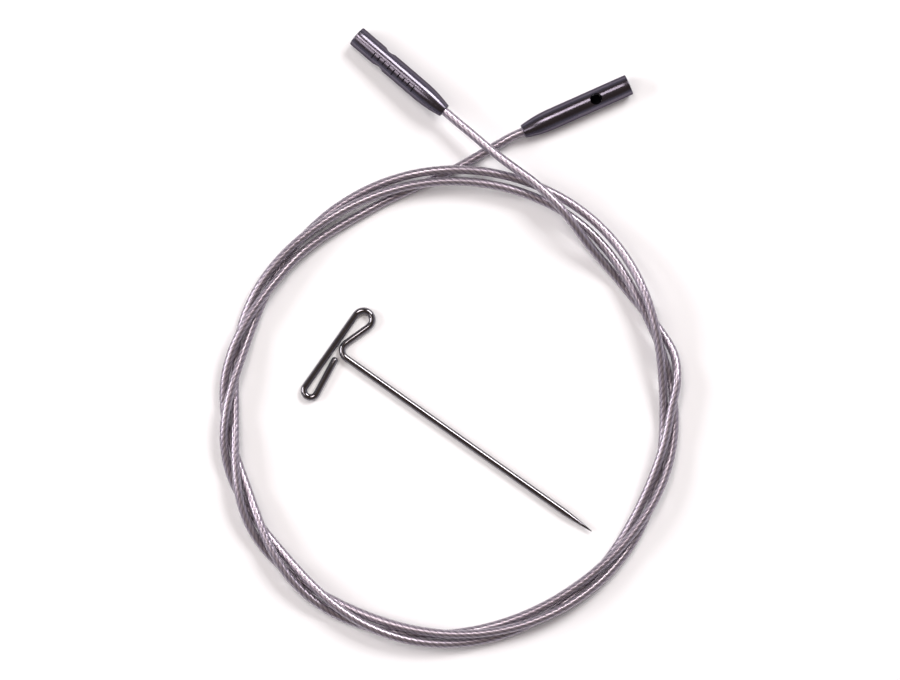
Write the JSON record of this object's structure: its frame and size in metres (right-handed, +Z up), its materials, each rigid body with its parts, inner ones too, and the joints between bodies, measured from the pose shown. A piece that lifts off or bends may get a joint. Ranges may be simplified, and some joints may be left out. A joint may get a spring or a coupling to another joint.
{
  "type": "circular knitting needle cable",
  "caption": "Coiled swivel cable for interchangeable circular knitting needle tips, with a threaded connector at each end and a bent-wire tightening key.",
  "frame": {"origin": "on the table under the middle of the whole object's box", "axes": "+Z up from the table, +Y from the coil towards the connectors, +X to the right as seen from above"},
  "size_m": [0.0749, 0.1005, 0.0054],
  "materials": {
    "jacket": "clear nylon over the steel rope",
    "core": "stranded steel rope",
    "connector": "polished stainless steel",
    "ferrule": "turned stainless steel",
    "washer": "turned brass",
    "key": "bright nickel plate"
  },
  "bodies": {
    "cable": {"cable_coil": "jacket", "cable_tail_left": "jacket", "cable_tail_right": "jacket", "cable_core": "core", "ferrule_left": "ferrule", "ferrule_right": "ferrule"},
    "left_connector": {"connector_left": "connector", "thrust_washer_left": "washer"},
    "right_connector": {"connector_right": "connector", "thrust_washer_right": "washer"},
    "key": {"tightening_key": "key"}
  },
  "joints": [
    {"name": "swivel_left", "type": "hinge", "parent": "cable", "child": "left_connector", "pos_m": [-0.001, 0.0367, 0.00307], "axis": [-0.7561, 0.6503, -0.0732], "continuous": true},
    {"name": "swivel_right", "type": "hinge", "parent": "cable", "child": "right_connector", "pos_m": [0.0118, 0.0334, 0.0017], "axis": [0.9135, 0.4067, 0], "continuous": true},
    {"name": "key_lift", "type": "slide", "parent": "cable", "child": "key", "axis": [0, 0, 1], "range_m": [0, 0.06]}
  ]
}
